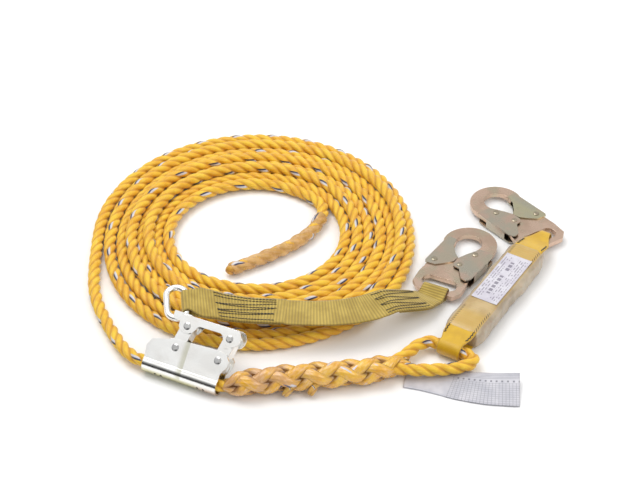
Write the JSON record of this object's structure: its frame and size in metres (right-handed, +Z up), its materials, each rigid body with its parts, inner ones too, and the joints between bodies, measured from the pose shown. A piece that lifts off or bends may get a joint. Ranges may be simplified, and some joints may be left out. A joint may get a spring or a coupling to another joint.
{
  "type": "shock absorbing lanyard with lifeline and rope grab",
  "caption": "Fall-arrest assembly: coiled lifeline with sliding rope grab and webbing lanyard, and a shock absorbing pack between locking snap hooks.",
  "frame": {"origin": "on the floor, under the middle of the box round the hardware, webbing, pack and tag", "axes": "+Z up; +X from the coil towards the snap hooks; the front view looks along +Y"},
  "size_m": [0.6116, 0.5195, 0.0688],
  "materials": {
    "rope": "yellow laid rope, slightly glossy",
    "splice": "tucked strands, tan where sealed",
    "sleeve": "thin translucent amber sleeve",
    "tag": "printed white sheet",
    "grab_steel": "bright zinc plate",
    "grab_rivet_steel": "bright rivet heads",
    "hook_steel": "yellow chromate, iridescent",
    "spring_steel": "dark spring steel",
    "khaki_webbing": "ribbed webbing",
    "yellow_webbing": "bright smooth webbing",
    "thread": "black thread",
    "cover_film": "cream translucent film"
  },
  "bodies": {
    "lifeline": {"lifeline_coil": "rope", "lifeline_lead": "rope", "lifeline_tail": "rope", "rope_end_sleeve": "sleeve", "rope_end_tip": "rope", "eye_splice": "splice", "splice_strand_ends": "rope", "rope_eye": "rope", "inspection_tag": "tag"},
    "rope_grab": {"grab_channel": "grab_steel", "grab_body_rivets": "grab_rivet_steel"},
    "cam_lower": {"grab_cam_lower": "grab_steel"},
    "cam_upper": {"grab_cam_upper": "grab_steel"},
    "grab_arm": {"grab_arm": "grab_steel", "grab_arm_rivets": "grab_rivet_steel", "grab_eye": "grab_steel"},
    "lanyard": {"lanyard_webbing": "khaki_webbing", "lanyard_grab_loop": "khaki_webbing", "lanyard_hook_loop": "khaki_webbing", "lanyard_stitching_grab": "thread", "lanyard_stitching_hook": "thread"},
    "lanyard_hook": {"lanyard_hook_body": "hook_steel", "lanyard_hook_gate_rivet": "hook_steel", "lanyard_hook_lever_rivet": "hook_steel", "lanyard_hook_lever_spring": "spring_steel"},
    "lanyard_hook_gate": {"lanyard_hook_gate": "hook_steel", "lanyard_hook_gate_spring": "spring_steel"},
    "lanyard_hook_lever": {"lanyard_hook_lever": "hook_steel", "lanyard_hook_lock_pin": "hook_steel"},
    "pack": {"pack_core": "khaki_webbing", "pack_cover": "cover_film", "pack_hook_loop": "yellow_webbing", "pack_rope_loop": "yellow_webbing", "pack_label": "tag", "pack_edge_stitching": "thread"},
    "anchor_hook": {"anchor_hook_body": "hook_steel", "anchor_hook_gate_rivet": "hook_steel", "anchor_hook_lever_rivet": "hook_steel", "anchor_hook_lever_spring": "spring_steel"},
    "anchor_hook_gate": {"anchor_hook_gate": "hook_steel", "anchor_hook_gate_spring": "spring_steel"},
    "anchor_hook_lever": {"anchor_hook_lever": "hook_steel", "anchor_hook_lock_pin": "hook_steel"}
  },
  "joints": [
    {"name": "grab_slide", "type": "slide", "parent": "lifeline", "child": "rope_grab", "axis": [-0.9003, 0.4352, 0], "range_m": [0, 0.009]},
    {"name": "cam_lower_pivot", "type": "hinge", "parent": "rope_grab", "child": "cam_lower", "pos_m": [-0.22014, -0.13701, 0.03109], "axis": [-0.3078, -0.6366, 0.7071], "range_deg": [-12, 0], "stiffness_Nm_per_rad": 0.5, "springref_deg": 28.65},
    {"name": "cam_upper_pivot", "type": "hinge", "parent": "rope_grab", "child": "cam_upper", "pos_m": [-0.16897, -0.16097, 0.0318], "axis": [-0.3078, -0.6366, 0.7071], "range_deg": [-12, 0]},
    {"name": "arm_pivot", "type": "hinge", "parent": "cam_lower", "child": "grab_arm", "pos_m": [-0.206, -0.12154, 0.05117], "axis": [-0.3078, -0.6366, 0.7071], "range_deg": [0, 12]},
    {"name": "lanyard_pivot", "type": "hinge", "parent": "grab_arm", "child": "lanyard", "pos_m": [-0.2118, -0.0866, 0.06], "axis": [0.1073, -0.9722, -0.2079], "range_deg": [0, 60]},
    {"name": "lanyard_hook_pivot", "type": "hinge", "parent": "lanyard", "child": "lanyard_hook", "pos_m": [0.09653, -0.00833, 0.0084], "axis": [0.8988, -0.4384, 0], "range_deg": [0, 60]},
    {"name": "lanyard_hook_lever_pivot", "type": "hinge", "parent": "lanyard_hook", "child": "lanyard_hook_lever", "pos_m": [0.14619, 0.05813, 0.0084], "axis": [0, 0, -1], "range_deg": [0, 4], "stiffness_Nm_per_rad": 0.4, "springref_deg": -11.46},
    {"name": "lanyard_hook_gate_pivot", "type": "hinge", "parent": "lanyard_hook", "child": "lanyard_hook_gate", "pos_m": [0.09392, 0.05247, 0.0084], "axis": [0, 0, -1], "range_deg": [0, 20], "stiffness_Nm_per_rad": 0.06, "springref_deg": -20.05},
    {"name": "pack_pivot", "type": "hinge", "parent": "lifeline", "child": "pack", "pos_m": [0.1052, -0.1151, 0.012], "axis": [0.8536, -0.521, 0], "range_deg": [0, 60]},
    {"name": "anchor_hook_pivot", "type": "hinge", "parent": "pack", "child": "anchor_hook", "pos_m": [0.23547, 0.08456, 0.0084], "axis": [0.848, 0.5299, 0], "range_deg": [0, 20]},
    {"name": "anchor_hook_lever_pivot", "type": "hinge", "parent": "anchor_hook", "child": "anchor_hook_lever", "pos_m": [0.17914, 0.14546, 0.0084], "axis": [0, 0, 1], "range_deg": [0, 4], "stiffness_Nm_per_rad": 0.4, "springref_deg": -11.46},
    {"name": "anchor_hook_gate_pivot", "type": "hinge", "parent": "anchor_hook", "child": "anchor_hook_gate", "pos_m": [0.23172, 0.1453, 0.0084], "axis": [0, 0, 1], "range_deg": [0, 20], "stiffness_Nm_per_rad": 0.06, "springref_deg": -20.05}
  ],
  "couplings": [
    {"joint": "cam_upper_pivot", "follows": "cam_lower_pivot", "ratio": 1},
    {"joint": "arm_pivot", "follows": "cam_lower_pivot", "ratio": -1},
    {"joint": "lanyard_hook_gate_pivot", "follows": "lanyard_hook_lever_pivot", "ratio": 5},
    {"joint": "anchor_hook_gate_pivot", "follows": "anchor_hook_lever_pivot", "ratio": 5}
  ]
}
